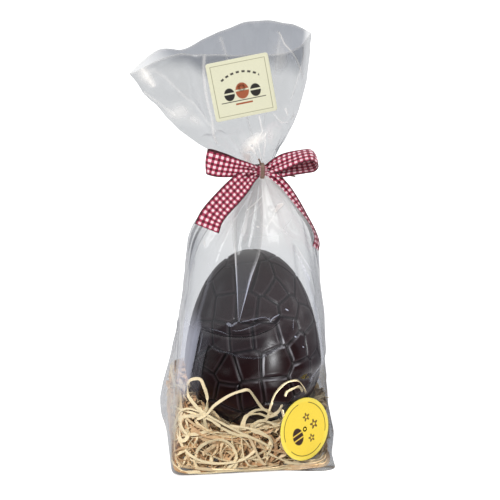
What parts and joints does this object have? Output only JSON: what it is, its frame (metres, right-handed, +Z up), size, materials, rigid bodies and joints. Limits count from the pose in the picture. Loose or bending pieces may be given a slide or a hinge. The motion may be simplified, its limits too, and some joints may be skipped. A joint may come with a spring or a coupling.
{
  "type": "chocolate egg",
  "caption": "Dark chocolate egg on wood straw in a clear film gift bag, gathered under a flared top and tied with a gingham bow.",
  "frame": {"origin": "middle of the bag's flat base, on the surface it stands on", "axes": "+Z up along the pack's height, -Y towards the front with the label, +X to the right seen from the front"},
  "size_m": [0.1357, 0.1084, 0.2975],
  "materials": {
    "film": "clear glossy film, lightly creased",
    "ribbon": "woven gingham ribbon, crimson and white checks",
    "tie": "paper-covered wire, gold-brown",
    "card": "matt printed card",
    "sticker": "satin printed paper",
    "chocolate": "moulded dark chocolate, satin gloss",
    "straw": "pale wood straw, matt"
  },
  "bodies": {
    "root": {"film_bag": "film", "gingham_bow": "ribbon", "twist_tie": "tie", "card_label": "card", "round_sticker": "sticker"}
  },
  "joints": []
}
